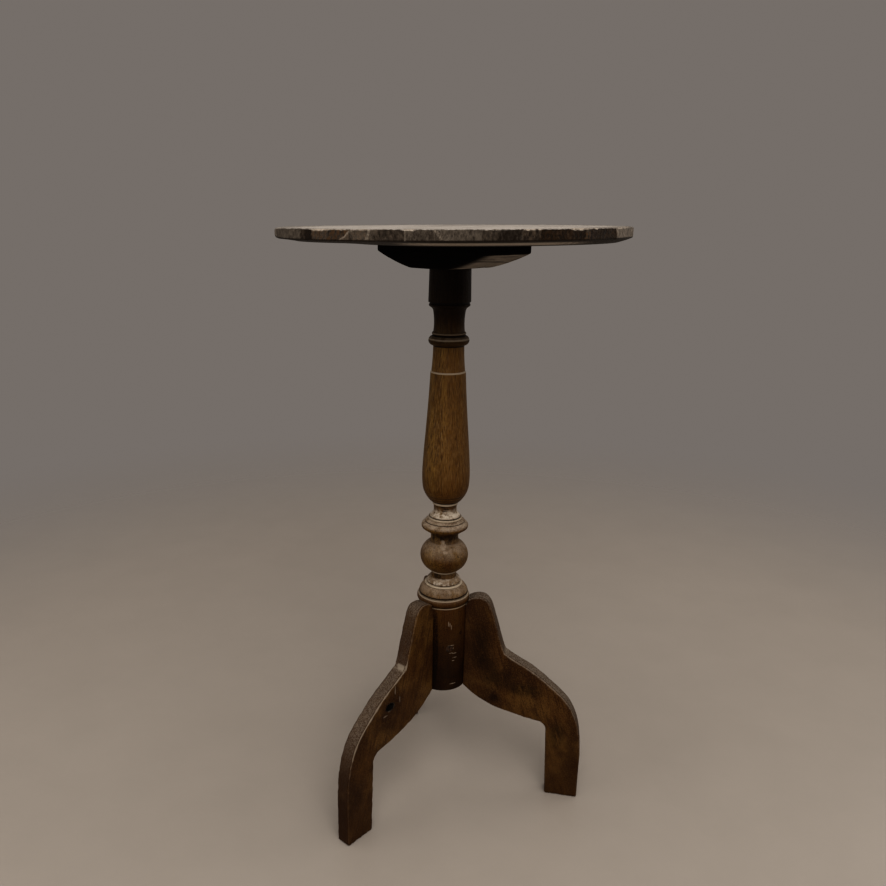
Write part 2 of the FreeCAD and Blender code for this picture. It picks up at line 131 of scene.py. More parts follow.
class Finish:
    """A finish that is made up in layers over bare wood or iron."""

    def __init__(self, name):
        self.material = bpy.data.materials.new(name)
        self.material.use_nodes = True
        self.nodes = self.material.node_tree.nodes
        self.links = self.material.node_tree.links
        self.shader = self.nodes["Principled BSDF"]
        self.place = self.nodes.new("ShaderNodeTexCoord").outputs["Object"]
        self.facing = self.nodes.new("ShaderNodeNewGeometry").outputs["Normal"]

    def put(self, socket, value):
        if isinstance(value, bpy.types.NodeSocket):
            self.links.new(value, socket)
        elif socket.type == "RGBA":
            socket.default_value = (*value, 1.0)
        else:
            socket.default_value = value

    def maths(self, operation, *values):
        node = self.nodes.new("ShaderNodeMath")
        node.operation = operation
        for socket, value in zip(node.inputs, values):
            self.put(socket, value)
        return node.outputs[0]

    def total(self, *values):
        """Several shares added together."""
        result = values[0]
        for value in values[1:]:
            result = self.maths("ADD", result, value)
        return result

    def product(self, *values):
        """Several shares multiplied together."""
        result = values[0]
        for value in values[1:]:
            result = self.maths("MULTIPLY", result, value)
        return result

    def gap(self, value, middle):
        """How far a value is from a middle, either way."""
        return self.maths("ABSOLUTE", self.maths("SUBTRACT", value, middle))

    def along(self, direction, what=None):
        """How far a place, or a face's normal, goes along a direction."""
        node = self.nodes.new("ShaderNodeVectorMath")
        node.operation = "DOT_PRODUCT"
        self.put(node.inputs[0], self.place if what is None else what)
        self.put(node.inputs[1], direction)
        return node.outputs["Value"]

    def away(self, spot, what=None):
        """How far a place is from a spot."""
        node = self.nodes.new("ShaderNodeVectorMath")
        node.operation = "DISTANCE"
        self.put(node.inputs[0], self.place if what is None else what)
        self.put(node.inputs[1], spot)
        return node.outputs["Value"]

    def join(self, x, y, z):
        node = self.nodes.new("ShaderNodeCombineXYZ")
        for socket, value in zip(node.inputs, (x, y, z)):
            self.put(socket, value)
        return node.outputs[0]

    def noise(self, scale, stretch=(1, 1, 1), place=None, detail=3.0, rough=0.55, warp=0.0):
        laid = self.nodes.new("ShaderNodeMapping")
        self.put(laid.inputs["Vector"], self.place if place is None else place)
        laid.inputs["Scale"].default_value = stretch
        node = self.nodes.new("ShaderNodeTexNoise")
        self.put(node.inputs["Vector"], laid.outputs[0])
        self.put(node.inputs["Scale"], scale)
        self.put(node.inputs["Detail"], detail)
        self.put(node.inputs["Roughness"], rough)
        self.put(node.inputs["Distortion"], warp)
        return node.outputs[0]

    def mark(self, name):
        """A value that the mesh carries at its corners."""
        node = self.nodes.new("ShaderNodeAttribute")
        node.attribute_name = name
        return node.outputs["Fac"]

    def step(self, value, low, high):
        """A smooth climb from 0 to 1 between two values; it falls where low is above high."""
        node = self.nodes.new("ShaderNodeMapRange")
        node.interpolation_type = "SMOOTHSTEP"
        flip = low > high
        self.put(node.inputs["Value"], value)
        self.put(node.inputs["From Min"], min(low, high))
        self.put(node.inputs["From Max"], max(low, high))
        self.put(node.inputs["To Min"], 1.0 if flip else 0.0)
        self.put(node.inputs["To Max"], 0.0 if flip else 1.0)
        return node.outputs[0]

    def band(self, value, begin, full, ease, end):
        """1 from full to ease, fading to 0 at the beginning and at the end."""
        return self.product(self.step(value, begin, full), self.step(value, end, ease))

    def mix(self, share, first, second):
        node = self.nodes.new("ShaderNodeMix")
        node.data_type = "RGBA"
        self.put(node.inputs["Factor"], share)
        self.put(node.inputs[6], first)
        self.put(node.inputs[7], second)
        return node.outputs[2]

    def coat(self, under, over, strength, pattern, low, high):
        """A colour over another one where a pattern climbs from low to high."""
        return self.mix(self.product(self.step(pattern, low, high), strength), under, over)

    def relief(self, height, depth, under=None):
        """Bump of a given depth in metres, over an earlier one."""
        node = self.nodes.new("ShaderNodeBump")
        self.put(node.inputs["Height"], height)
        node.inputs["Distance"].default_value = depth
        if under is not None:
            self.put(node.inputs["Normal"], under)
        return node.outputs[0]

    def done(self, colour, roughness, normal, gloss=0.5):
        self.put(self.shader.inputs["Base Color"], colour)
        self.put(self.shader.inputs["Roughness"], roughness)
        self.put(self.shader.inputs["Normal"], normal)
        self.shader.inputs["Specular IOR Level"].default_value = gloss
        return self.material


def lines_at(wood, height, levels):
    """1 on the lines that a lathe tool cut at the levels, and 0 between them."""
    found = 0.0
    for level, half, strength in levels:
        line = wood.step(wood.gap(height, level), half + line_fade, half)
        found = wood.maths("MAXIMUM", found, wood.product(line, strength))
    return found


def oval(wood, line, at, level, length, tall, front, near=0.003, fade=0.2):
    """1 inside an oval mark on the side that looks to the front, and 0 outside it."""
    aside = wood.maths("DIVIDE", wood.maths("SUBTRACT", wood.along(line), at), length)
    above = wood.maths("DIVIDE", wood.maths("SUBTRACT", wood.along((0, 0, 1)), level), tall)
    inside = wood.step(wood.away((0, 0, 0), wood.join(aside, above, 0.0)), 1.0 + fade, 1.0 - fade)
    return wood.product(inside, wood.step(wood.along(front), near, near + 0.002))


def column_finish():
    wood = Finish("turned_stained_wood")
    height = wood.along((0, 0, 1))
    bands = wood.noise(75.0, (1.0, 0.45, 0.05), detail=2.0, warp=0.4)
    streaks = wood.noise(620.0, (1.0, 1.0, 0.03), detail=4.0, rough=0.75)
    pores = wood.noise(1500.0, (1.0, 1.0, 0.05), detail=2.0, rough=0.6)
    specks = wood.noise(900.0, detail=2.0, rough=0.6)
    clouds = wood.noise(34.0, detail=4.0, rough=0.6)
    patches = wood.noise(160.0, detail=5.0, rough=0.65)
    rings = wood.step(height, *rings_below)
    off_drum = wood.step(height, *drum_above)
    # Grain and pores
    colour = wood.mix(wood.step(bands, 0.34, 0.66), column_brown, column_gold)
    colour = wood.coat(colour, column_dark, 0.65, streaks, 0.48, 0.62)
    colour = wood.coat(colour, column_wax_and_shade, 0.65, pores, 0.54, 0.64)
    colour = wood.coat(colour, column_lit, 0.40, pores, 0.44, 0.36)
    # Painted shade: the vase is darker and redder on the side taken to be away from the light
    shaded = wood.step(wood.along(shade_line, wood.facing), 0.05, 0.75)
    painted_shade_red = wood.product(shaded, wood.step(height, *vase_above), wood.step(bands, 0.25, 0.60), 0.45)
    colour = wood.mix(painted_shade_red, colour, column_shade_red)
    # Darker stain on the drum and the necks and on the vase's foot, and painted shade under the top on the
    # ring and from it up to the batten
    drum = wood.product(wood.step(height, *drum_below), wood.total(0.60, wood.product(clouds, 0.5)))
    necks = wood.product(wood.step(height, *necks_below), wood.step(clouds, 0.30, 0.70), 0.60)
    stain = wood.maths("MAXIMUM", wood.maths("MINIMUM", drum, 1.0), necks)
    colour = wood.mix(stain, colour, column_dark)
    colour = wood.mix(wood.product(wood.band(height, *vase_foot), 0.60), colour, column_dark)
    colour = wood.mix(wood.product(wood.band(height, *neck_top), 0.60), colour, column_wax_and_shade)
    soiled = wood.product(wood.step(height, *drum_soil_below), wood.total(0.35, wood.product(clouds, 0.8)))
    colour = wood.mix(wood.maths("MINIMUM", soiled, 0.80), colour, column_wax_and_shade)
    # Painted shade under the top: the ring darker, and the throat and the head nearly black
    colour = wood.mix(wood.product(wood.band(height, *ring), 0.40), colour, column_wax_and_shade)
    upper = wood.total(wood.product(wood.step(height, *throat_above), 0.74),
                       wood.product(wood.step(height, *head_above), 0.18))
    colour = wood.mix(upper, colour, column_wax_and_shade)
    colour = wood.mix(wood.product(rings, wood.step(specks, 0.53, 0.64), 0.60), colour, column_wax_and_shade)
    # Dust on what looks up: thick on the rings, thinner on the ball and on the collar's shoulder
    lies = wood.step(wood.along((0, 0, 1), wood.facing), dust_start, dust_full)
    saucer = wood.product(wood.step(height, *saucer_above), rings, 0.16)
    vase = wood.product(wood.step(height, *thin_dust_below), 0.22)
    thick = wood.total(saucer, wood.product(rings, 0.56), vase)
    thin = wood.total(wood.product(wood.step(height, *shoulder_below), 0.22),
                      wood.product(wood.band(height, *ball), 0.26))
    uneven = wood.total(0.25, wood.product(wood.step(patches, 0.25, 0.62), 0.75))
    dust = wood.product(lies, wood.maths("SUBTRACT", thick, thin), off_drum, uneven)
    colour = wood.mix(dust, colour, ring_dust)
    cap = wood.product(wood.band(height, *collar_cap), wood.step(patches, 0.46, 0.62), 0.60)
    colour = wood.mix(cap, colour, waist_dust)
    colour = wood.mix(wood.product(wood.band(height, *astragal), 0.62), colour, column_dark)
    # Dark specks on the rings, blots on the ball's neck, and the waist nearly white with dust
    speckle = wood.product(rings, off_drum, wood.step(specks, 0.52, 0.66), 0.40)
    blots = wood.product(wood.band(height, *neck_blots), wood.step(patches, 0.46, 0.58), 0.75)
    colour = wood.mix(wood.maths("MAXIMUM", speckle, blots), colour, column_wax_and_shade)
    white = wood.product(wood.band(height, *waist), wood.step(patches, 0.38, 0.56), 0.85)
    colour = wood.mix(white, colour, waist_dust)
    # Old wax with painted shade in the quirks, bare wood with painted highlights on the edges, and the
    # marks, one of them a painted shadow
    colour = wood.mix(lines_at(wood, height, wax_and_shade_levels), colour, column_wax_and_shade)
    worn = wood.product(lines_at(wood, height, worn_and_highlight_levels), wood.step(patches, 0.20, 0.42))
    colour = wood.mix(worn, colour, bare_edge_and_highlight)
    for azimuth, level, half, tall, pale in column_marks:
        a = math.radians(azimuth)
        out, aside = (math.cos(a), math.sin(a), 0), (-math.sin(a), math.cos(a), 0)
        spot = oval(wood, aside, 0.0, level / 1000, half / 1000, tall / 1000, out, mark_front)
        spot = wood.product(spot, wood.step(specks, 0.34, 0.50), pale_mark if pale else dark_mark)
        colour = wood.mix(spot, colour, ring_dust if pale else column_wax_and_shade)
    normal = wood.relief(patches, 0.0007, wood.relief(streaks, 0.0007))
    return wood.done(colour, wood.total(0.46, wood.product(dust, 0.38)), normal, 0.15)


def dress(node, finish):
    """Gives a carried-over node its finish."""
    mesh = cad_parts[node].data
    mesh.materials.clear()
    mesh.materials.append(finish)


dress("column", column_finish())

# Legs. Three legs sawn from 19 mm board with the grain running down from the drum to the foot,
# each on a dovetail in the drum. Their sides are mottled dark brown under worn wax, their
# edges have worn pale with a painted highlight along them and painted shade beside it, and dust
# lies on the narrow faces that look up.
leg_dark_and_shade = (0.034, 0.0125, 0.0035)
leg_brown = (0.088, 0.040, 0.0105)
leg_worn = (0.170, 0.092, 0.026)
leg_dust = (0.230, 0.190, 0.150)
leg_scratch_and_highlight = (0.330, 0.280, 0.220)
leg_hole = (0.004, 0.002, 0.001)
# Each leg: its angle, how much darker it is beside the drum, how far its shank has worn brown, how far its
# edges have worn pale and carry a painted highlight, and how thick the dust lies
leg_kinds = (
    ("leg_rear", 86.5, 0.45, 0.10, 0.30, 0.70),
    ("leg_left", 210, 0.05, 0.05, 0.55, 0.64),
    ("leg_right", 330, 0.42, 0.30, 0.20, 0.90),
)
leg_grain_fall = 74.0
leg_ledge = 0.1965
# Sizes of the wear in metres, none of it inside the drum; a pace is how fast a noise changes in a metre
leg_cell, weld_gap = 0.0012, 0.00002
drum_clear_start, drum_clear_end = 0.0335, 0.0400
face_wave, face_pace, face_pace_up = 0.00016, 60, 25
edge_wear, edge_pace, edge_spread = 0.00075, 130, 0.35
hurt_ragged, hurt_pace, hurt_front = 0.35, 500, 0.004
# Damage on a leg's side: leg, which side, reach, height, half length, half height and depth in metres,
# and pale (1) or dark (0). The first is the knot hole, and those without depth are stains.
leg_hurts = (
    ("leg_left", 1, 0.107, 0.157, 0.0060, 0.0042, 0.0045, 0),
    ("leg_left", 1, 0.115, 0.148, 0.0042, 0.0008, 0.0004, 1),
    ("leg_left", 1, 0.082, 0.207, 0.0050, 0.0026, 0.0014, 1),
    ("leg_left", 1, 0.098, 0.176, 0.0009, 0.0060, 0.0003, 1),
    ("leg_left", 1, 0.090, 0.160, 0.0008, 0.0045, 0.0002, 1),
    ("leg_right", -1, 0.050, 0.206, 0.012, 0.024, 0.0, 0),
    ("leg_right", -1, 0.056, 0.180, 0.013, 0.012, 0.0, 0),
    ("leg_right", -1, 0.072, 0.160, 0.015, 0.013, 0.0, 0),
    ("leg_right", -1, 0.105, 0.148, 0.020, 0.008, 0.0, 0),
    ("leg_right", -1, 0.069, 0.132, 0.006, 0.005, 0.0, 0),
    ("leg_right", -1, 0.150, 0.090, 0.008, 0.016, 0.0, 0),
)
# Damage deeper than this is a hole, dark inside and round its lip
hole_depth = 0.002
hurt_strength, lip_spread = 0.55, 1.3


def leg_lines(angle):
    """A leg's own directions: outwards and to its side."""
    a = math.radians(angle)
    return Vector((math.cos(a), math.sin(a), 0)), Vector((-math.sin(a), math.cos(a), 0))


def share(value, start, end):
    """0 at the start, 1 at the end, and straight between them."""
    return min(1.0, max(0.0, (value - start) / (end - start)))


def fine_copy(name, mesh, cell):
    """A piece with a mesh's shape in small even faces."""
    piece = bpy.data.objects.new(name, mesh)
    bpy.context.scene.collection.objects.link(piece)
    cells = piece.modifiers.new("cells", "REMESH")
    cells.mode = "VOXEL"
    cells.voxel_size = cell
    even = bpy.data.meshes.new_from_object(piece.evaluated_get(bpy.context.evaluated_depsgraph_get()))
    piece.modifiers.clear()
    piece.data = even
    return piece


def hurt_depth(name, place, reach, across):
    """How deep the damage on a leg's side goes at a place."""
    depth = 0.0
    for hurt, half, at, level, length, tall, deep, _ in leg_hurts:
        if hurt == name and across * half > hurt_front:
            off = math.hypot((reach - at) / length, (place.z - level) / tall)
            off += hurt_ragged * noise.noise(place * hurt_pace)
            depth += deep * share(off, 1.15, 0.55)
    return depth


def worn_leg(name, angle):
    """The leg in small even faces, its edges rubbed down and its faces a little uneven."""
    out, side = leg_lines(angle)
    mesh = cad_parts[name].data.copy()
    skin = bmesh.new()
    skin.from_mesh(mesh)
    bmesh.ops.remove_doubles(skin, verts=skin.verts, dist=weld_gap)
    skin.to_mesh(mesh)
    skin.free()
    leg = fine_copy(name + "_worn", mesh, leg_cell)
    facings = [corner.normal.copy() for corner in leg.data.vertices]
    for corner, facing in zip(leg.data.vertices, facings):
        place = corner.co.copy()
        reach, across = place.dot(out), place.dot(side)
        sideways = abs(facing.dot(side))
        on_edge = share(sideways, 0.10, 0.45) * share(sideways, 0.995, 0.90)
        wave_at = Vector((place.x * face_pace, place.y * face_pace, place.z * face_pace_up))
        depth = face_wave * (1 + noise.noise(wave_at))
        depth += edge_wear * on_edge * max(0.0, noise.noise(place * edge_pace) + edge_spread)
        depth += hurt_depth(name, place, reach, across)
        place -= facing * depth * share(reach, drum_clear_start, drum_clear_end)
        place.z = max(0.0, place.z)
        corner.co = place
    leg.data.shade_smooth()
    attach(leg, "root")
    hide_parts(name)
    return leg


def leg_finish(name, angle, drum_darkening, shank, rubbed, dusty):
    wood = Finish(name + "_sawn_wood")
    out, side = (tuple(line) for line in leg_lines(angle))
    reach, height, across = wood.along(out), wood.along((0, 0, 1)), wood.along(side)
    fall = math.radians(leg_grain_fall)
    slope, rise = math.cos(fall), math.sin(fall)
    grain = wood.maths("SUBTRACT", wood.product(reach, slope), wood.product(height, rise))
    over = wood.total(wood.product(reach, rise), wood.product(height, slope))
    laid = wood.join(grain, over, across)
    figure = wood.noise(30.0, (0.35, 1.0, 0.6), laid, detail=4.0, warp=0.5)
    streaks = wood.noise(480.0, (0.07, 1.0, 1.0), laid, detail=4.0, rough=0.75)
    clouds = wood.noise(24.0, (0.8, 1.0, 1.0), laid, detail=5.0, rough=0.62)
    scuffs = wood.noise(170.0, (0.30, 1.0, 1.0), laid, detail=5.0, rough=0.7)
    specks = wood.noise(800.0, detail=2.0, rough=0.6)
    # Mottled grain
    colour = wood.mix(wood.step(figure, 0.34, 0.62), leg_dark_and_shade, leg_brown)
    colour = wood.coat(colour, leg_worn, 0.70, clouds, 0.46, 0.64)
    colour = wood.coat(colour, leg_dark_and_shade, 0.70, streaks, 0.49, 0.62)
    colour = wood.coat(colour, leg_dark_and_shade, 0.60, specks, 0.52, 0.62)
    colour = wood.coat(colour, leg_worn, 0.35, specks, 0.46, 0.38)
    colour = wood.coat(colour, leg_worn, 0.35, scuffs, 0.60, 0.72)
    # The shank is worn brown; the wood is darker towards the foot and beside the drum
    brown = wood.product(wood.step(height, 0.13, 0.06), wood.step(clouds, 0.30, 0.60), shank)
    colour = wood.mix(brown, colour, leg_worn)
    soiled = wood.total(wood.product(wood.step(reach, 0.085, 0.035), drum_darkening),
                        wood.product(wood.step(height, 0.11, 0.02), 0.40))
    colour = wood.mix(soiled, colour, leg_dark_and_shade)
    # The narrow faces are darker under gritty dust, with painted shade along their edges as a dark crease
    sideways = wood.maths("ABSOLUTE", wood.along(side, wood.facing))
    narrow = wood.product(wood.step(sideways, 0.45, 0.15), wood.step(reach, 0.03, 0.04), 0.65)
    colour = wood.mix(narrow, colour, leg_dark_and_shade)
    lies = wood.step(wood.along((0, 0, 1), wood.facing), -0.10, 0.80)
    grit = wood.step(wood.noise(900.0, detail=2.0, rough=0.6), 0.42, 0.56)
    dust = wood.product(lies, wood.total(0.10, wood.product(grit, dusty)))
    colour = wood.mix(dust, colour, leg_dust)
    colour = wood.mix(wood.product(wood.band(sideways, 0.10, 0.20, 0.40, 0.55), 0.70), colour, leg_dark_and_shade)
    # Bare wood on the ledge, and pale worn wood along the edges that is also a painted highlight
    on_ledge = wood.step(wood.gap(height, leg_ledge), 0.0040, 0.0015)
    ledge = wood.product(on_ledge, wood.step(sideways, 0.9, 0.6), wood.step(reach, 0.06, 0.065), rubbed)
    colour = wood.mix(wood.product(ledge, wood.step(scuffs, 0.40, 0.50), 1.5), colour, leg_scratch_and_highlight)
    edges = wood.product(wood.band(sideways, 0.45, 0.60, 0.93, 0.985), wood.step(reach, 0.036, 0.042))
    strength = wood.total(0.05, wood.product(wood.band(height, 0.085, 0.125, 0.200, 0.225), rubbed))
    colour = wood.mix(wood.product(edges, strength, wood.step(scuffs, 0.34, 0.52)), colour, leg_scratch_and_highlight)
    for hurt, half, at, level, length, tall, deep, pale in leg_hurts:
        if hurt == name:
            front = tuple(c * half for c in side)
            spot = oval(wood, out, at, level, length, tall, front, fade=0.2 if deep else 0.7)
            spot = wood.product(spot, wood.step(scuffs, 0.30, 0.50), hurt_strength)
            colour = wood.mix(spot, colour, leg_scratch_and_highlight if pale else leg_hole)
            if deep > hole_depth:
                hole = oval(wood, out, at, level, length * lip_spread, tall * lip_spread, front)
                colour = wood.mix(hole, colour, leg_hole)
    roughness = wood.total(wood.product(wood.step(clouds, 0.3, 0.7), -0.10), 0.52, wood.product(dust, 0.30))
    normal = wood.relief(scuffs, 0.0005, wood.relief(streaks, 0.0005))
    return wood.done(colour, roughness, normal, 0.13)


for leg, angle, *wear in leg_kinds:
    skin = worn_leg(leg, angle).data.materials
    skin.clear()
    skin.append(leg_finish(leg, angle, *wear))

# Screws. Slotted iron wood screws, brown with rust: three hold the legs through the drum,
# four hold the batten to the boards.
iron_dark = (0.035, 0.028, 0.024)
iron_rust = (0.120, 0.062, 0.034)
iron_metal = 0.6


def screw_finish():
    iron = Finish("rusty_iron")
    patches = iron.noise(420.0, detail=4.0, rough=0.65)
    colour = iron.mix(iron.step(patches, 0.40, 0.62), iron_dark, iron_rust)
    roughness = iron.total(0.45, iron.product(patches, 0.35))
    iron.shader.inputs["Metallic"].default_value = iron_metal
    return iron.done(colour, roughness, iron.relief(patches, 0.0002))


screw_iron = screw_finish()
dress("leg_screws", screw_iron)
dress("cleat_screws", screw_iron)

# Batten. A thick piece of unpolished wood across the boards, its ends sawn to a bevel and its
# edges rubbed round. Its dark wood is painted nearly black as the shade under the top; the bevels are
# painted pale with their grain as lit from the floor, fading to painted shadow across their width.
batten_shade_black = (0.0035, 0.0022, 0.0015)
batten_shade_brown = (0.012, 0.007, 0.0045)
batten_lit_bevel = (0.330, 0.285, 0.235)
batten_turn = 22.0
batten_cell, batten_rubbing = 0.0011, 7


def rubbed_batten():
    """The batten in small even faces, with its edges rubbed round."""
    batten = fine_copy("batten_rubbed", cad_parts["cleat"].data.copy(), batten_cell)
    skin = bmesh.new()
    skin.from_mesh(batten.data)
    for _ in range(batten_rubbing):
        bmesh.ops.smooth_vert(skin, verts=skin.verts, factor=0.5,
                              use_axis_x=True, use_axis_y=True, use_axis_z=True)
    skin.to_mesh(batten.data)
    skin.free()
    batten.data.shade_smooth()
    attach(batten, "root")
    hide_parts("cleat")
    return batten


def batten_finish():
    wood = Finish("rough_batten_wood")
    a = math.radians(90 + batten_turn)
    lengthways = (math.cos(a), math.sin(a), 0)
    width = wood.along((-math.sin(a), math.cos(a), 0))
    laid = wood.join(wood.along(lengthways), width, wood.along((0, 0, 1)))
    streaks = wood.noise(260.0, (0.06, 1.0, 1.0), laid, detail=4.0, rough=0.65)
    ends_grain = wood.noise(420.0, (1.0, 0.07, 1.0), laid, detail=4.0, rough=0.7)
    clouds = wood.noise(30.0, detail=3.0)
    colour = wood.mix(wood.step(streaks, 0.40, 0.65), batten_shade_black, batten_shade_brown)
    colour = wood.mix(wood.product(clouds, 0.6), colour, batten_shade_black)
    bevel = wood.band(wood.maths("ABSOLUTE", wood.along(lengthways, wood.facing)), 0.12, 0.20, 0.44, 0.60)
    # Painted light: the bevels pale as lit from the floor, fading into painted shadow across the width
    lit_bevel = wood.product(bevel, wood.step(ends_grain, 0.70, 0.40), wood.step(width, 0.036, 0.014), 0.95)
    colour = wood.mix(lit_bevel, colour, batten_lit_bevel)
    return wood.done(colour, 0.75, wood.relief(streaks, 0.0006), 0.10)


batten_skin = rubbed_batten().data.materials
batten_skin.clear()
batten_skin.append(batten_finish())

# Wedge and dowels. Plain split hardwood, hidden in the joints: the wedge spreads the column's
# tenon in the batten, and the dowels cross the joints of the boards.
peg_pale = (0.36, 0.25, 0.14)
peg_brown = (0.22, 0.14, 0.07)


def peg_finish():
    wood = Finish("split_peg_wood")
    streaks = wood.noise(500.0, (1.0, 1.0, 0.08), detail=3.0)
    colour = wood.mix(wood.step(streaks, 0.4, 0.65), peg_pale, peg_brown)
    return wood.done(colour, 0.7, wood.relief(streaks, 0.0003), 0.3)


peg_wood = peg_finish()
dress("tenon_wedge", peg_wood)
dress("top_dowels", peg_wood)

# Boards. Three boards glued edge to edge and cut to a round by hand, so the rim is a row of
# small flats with tool marks, its upper edge worn and chipped. Dust has greyed the upper face;
# the underside is bevelled to the rim, wider towards the left edge.
board_brown = (0.070, 0.050, 0.035)
board_grey = (0.150, 0.124, 0.098)
board_rust = (0.090, 0.045, 0.015)
board_dark = (0.018, 0.011, 0.006)
board_bare_and_lit = (0.400, 0.345, 0.285)
top_dust = (0.520, 0.480, 0.440)
# Sizes in metres: the flats stand on a circle a little past the rim's limit, which no corner crosses
top_radius, rim_limit = 0.1892, 0.1890
top_level, rim_foot, underside = 0.7000, 0.6893, 0.6850
front_joint, rear_joint = -0.10697, -0.00832
foot_round, edge_round, end_round = 0.0011, 0.0012, 0.0022
rim_steps, rim_rows = 1200, 8
unevenness, usual_wear, least_wear = 0.0002, 0.0006, 0.0003
top_sink, edge_sink, top_hollow, top_wave = 0.00010, 0.00012, 0.0003, 0.00018
under_radii = (0.030, 0.070, 0.105)
edge_bends = (25, 48, 70, 90)
inward_steps = (0.003, 0.008, 0.016, 0.030, 0.050, 0.080, 0.115, 0.150)
bevel_run, wide_bevel_run = 0.014, 0.058
# Angles in degrees: the widest flat's half, how far the limits between flats wander, the wide bevel,
# and the two places, across from each other, where the ends of the boards have worn round
flat_half_limit, flat_wander = 7.5, 0.6
wide_bevel_middle, wide_bevel_half = -160.0, 48.0
round_ends, round_end_start, round_end_full = -16.0, 24, 8
# Flats that show in front: azimuth of the start at its foot and at its top edge, cut in (mm),
# tone from dark -1 to pale 1, and rusty brown from 0 to 1
front_flats = (
    (-188, -188, 0.0, 0.9, 0.0), (-181, -181, 0.0, 0.5, 0.0), (-168, -168, 0.1, 0.5, 0.0),
    (-160.5, -160.0, 0.4, -0.4, 0.2), (-157.8, -158.2, 0.5, -1.0, 0.1), (-154.5, -155.0, 0.1, 0.2, 0.6),
    (-148.3, -147.8, 0.4, -0.1, 0.8), (-143.8, -139.8, 0.0, 1.0, 0.2), (-142.8, -138.8, 0.1, 0.4, 0.3),
    (-135.2, -134.2, 0.0, 0.8, 0.0), (-134.2, -133.2, 0.1, 0.2, 0.1), (-132.4, -131.6, 0.4, -0.2, 0.1),
    (-123.5, -123.5, 0.2, 0.1, 0.0), (-120.0, -120.0, 0.3, 0.0, 0.0), (-113.6, -116.0, 0.0, 1.0, 0.0),
    (-112.6, -115.0, 0.1, 0.1, 0.0), (-103.0, -103.0, 0.3, -0.2, 0.1), (-98.7, -98.7, 0.6, -0.6, 0.0),
    (-92.2, -92.2, 0.2, -0.3, 0.2), (-86.8, -86.4, 0.7, -1.0, 0.3), (-81.5, -82.5, 0.5, -0.8, 0.3),
    (-76.0, -76.0, 0.6, -0.8, 0.2), (-71.3, -71.3, 0.2, 0.0, 1.0), (-69.3, -69.3, 0.7, -0.9, 0.3),
    (-55.6, -56.6, 0.1, 0.9, 0.2),
)
back_flats_start, back_flats_end = -36.0, 166.0
# Chips in the upper edge: azimuth, half width and depth (mm)
front_chips = (
    (-151.0, 5.0, 2.3), (-143.0, 2.5, 1.4), (-136.0, 3.5, 0.9), (-122.4, 2.2, 1.6), (-99.0, 5.0, 0.6),
    (-89.0, 3.0, 1.3), (-73.0, 4.5, 1.9), (-66.5, 0.9, 1.8), (-50.0, 8.0, 1.0),
)
batten_line = Vector((-math.sin(math.radians(batten_turn)), math.cos(math.radians(batten_turn)), 0))


def rim_flats():
    """All the flats round the rim: those in front, then others of like width to the back."""
    chance = random.Random(17)
    flats = list(front_flats)
    here = back_flats_start
    while here < back_flats_end:
        look = chance.uniform(0.1, 0.6), chance.uniform(-0.7, 0.6), chance.uniform(0, 0.5)
        flats.append((here, here, *look))
        here += chance.uniform(5.0, 13.0)
    return flats


def rim_chips():
    """All the chips of the upper edge."""
    chance = random.Random(29)
    chips = list(front_chips)
    for azimuth in range(-30, 180, 14):
        chips.append((azimuth + chance.uniform(-5, 5), chance.uniform(1.0, 4.5), chance.uniform(0.4, 2.0)))
    return chips


flats, chips = rim_flats(), rim_chips()


def turn_from(azimuth, middle):
    """The angle between two azimuths, either way."""
    return abs((azimuth - middle + 180) % 360 - 180)


def flat_at(azimuth, up):
    """The rim's radius, tone and rust at an azimuth, at a height from 0 (foot) to 1 (top edge)."""
    starts = [foot + (top - foot) * up for foot, top, *_ in flats]
    starts.append(starts[0] + 360.0)
    azimuth -= 360.0 if azimuth >= starts[-1] else 0.0
    index = max(i for i, start in enumerate(starts) if start <= azimuth)
    cut_in, tone, rust = flats[index][2:]
    middle, half = (starts[index] + starts[index + 1]) / 2, (starts[index + 1] - starts[index]) / 2
    half = min(half, flat_half_limit)
    off = min(abs(azimuth - middle), half)
    radius = top_radius * math.cos(math.radians(half)) / math.cos(math.radians(off))
    return radius - cut_in / 1000, tone, rust


def chip_at(azimuth, spot):
    """How far the upper edge has worn down at an azimuth."""
    worn = usual_wear + 0.0005 * max(0.0, noise.noise(spot * 14)) + 0.0003 * noise.noise(spot * 60)
    ragged = 0.75 + 0.6 * noise.noise(spot * 45)
    for middle, half, depth in chips:
        worn += depth / 1000 * share(turn_from(azimuth, middle) / half, 1.1, 0.5) * ragged
    return max(least_wear, worn)


def under_points(azimuth, spot, foot, turned_in):
    """A section's points underneath: the flat, the bevel and the rounded foot of the rim."""
    off = turn_from(azimuth, wide_bevel_middle) / wide_bevel_half
    run = bevel_run + (wide_bevel_run - bevel_run) * share(off, 1.0, 0.1)
    # Painted light and shade in the tone: the bevel is pale in front as lit from the floor, and painted in
    # shade where it is wide and towards the right
    lit = 1.0 - 2.0 * share(off, 0.85, 0.50) - 1.6 * share(azimuth, -84, -58)
    rim = flat_at(azimuth, 0)[0]
    halfway = (underside + foot) / 2 + unevenness * noise.noise(spot * 40)
    points = [(radius, underside, 0.0, 0.0, 0.0) for radius in under_radii]
    points.append((top_radius - run, underside, lit, 0.0, 0.0))
    points.append((top_radius - run * 0.5, halfway, lit, 0.0, 0.0))
    points.append((rim - turned_in, foot, lit, 0.0, 0.0))
    points.append((rim - turned_in * 0.35, foot + turned_in * 0.25, -1.0, 0.0, 0.0))
    return points


